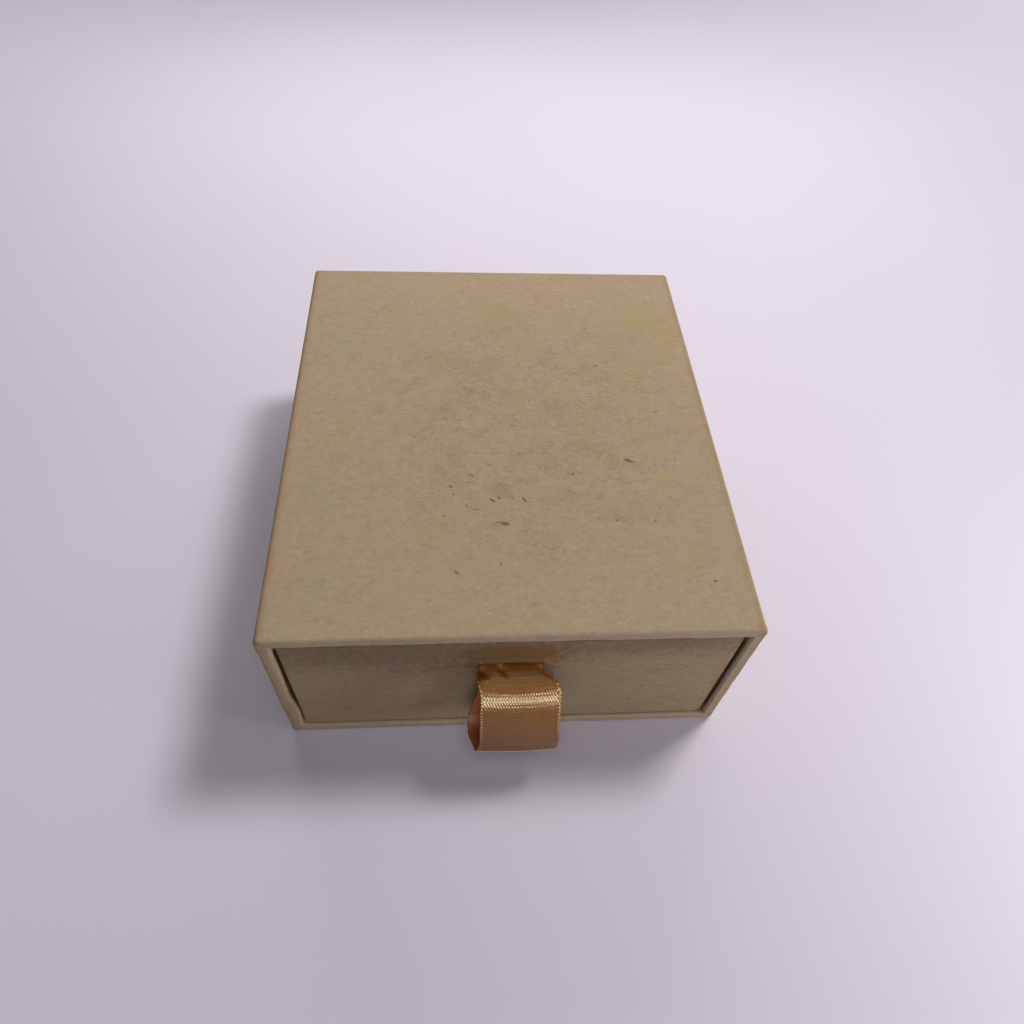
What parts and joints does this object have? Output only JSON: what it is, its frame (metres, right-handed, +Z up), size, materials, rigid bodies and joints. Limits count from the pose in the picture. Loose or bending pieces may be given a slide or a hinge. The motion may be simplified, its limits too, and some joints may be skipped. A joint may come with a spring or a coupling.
{
  "type": "sliding drawer gift box",
  "caption": "Small paper-wrapped rigid board box: a flat sleeve open at the front holds a tray drawer that slides out by a satin ribbon loop.",
  "frame": {"origin": "middle of the sleeve's underside, on the surface that the box rests on", "axes": "+Z up, +Y from the open front to the closed back, +X to the right seen from the front"},
  "size_m": [0.09, 0.1138, 0.04],
  "materials": {
    "greyboard": "plain grey board with cut edges",
    "gummed_tape": "thin gummed kraft tape",
    "kraft_wrap": "matt mottled kraft paper",
    "kraft_lining": "matt kraft paper",
    "closing_paper": "matt mottled kraft paper",
    "satin_ribbon": "woven bronze satin",
    "patch_paper": "matt kraft paper"
  },
  "bodies": {
    "sleeve": {"sleeve_top_board": "greyboard", "sleeve_bottom_board": "greyboard", "sleeve_left_board": "greyboard", "sleeve_right_board": "greyboard", "sleeve_back_board": "greyboard", "sleeve_wrap": "kraft_wrap", "sleeve_lining": "kraft_lining", "sleeve_base_paper": "closing_paper", "sleeve_back_paper": "closing_paper", "sleeve_seam_tape": "gummed_tape"},
    "drawer": {"drawer_base_board": "greyboard", "drawer_front_board": "greyboard", "drawer_back_board": "greyboard", "drawer_left_board": "greyboard", "drawer_right_board": "greyboard", "drawer_front_left_tape": "gummed_tape", "drawer_front_right_tape": "gummed_tape", "drawer_back_left_tape": "gummed_tape", "drawer_back_right_tape": "gummed_tape", "drawer_wrap": "kraft_wrap", "drawer_lining": "kraft_lining", "drawer_base_paper": "closing_paper", "pull_ribbon": "satin_ribbon", "ribbon_anchor_patch": "patch_paper"}
  },
  "joints": [
    {"name": "drawer_slide", "type": "slide", "parent": "sleeve", "child": "drawer", "axis": [0, -1, 0], "range_m": [0, 0.102]}
  ]
}
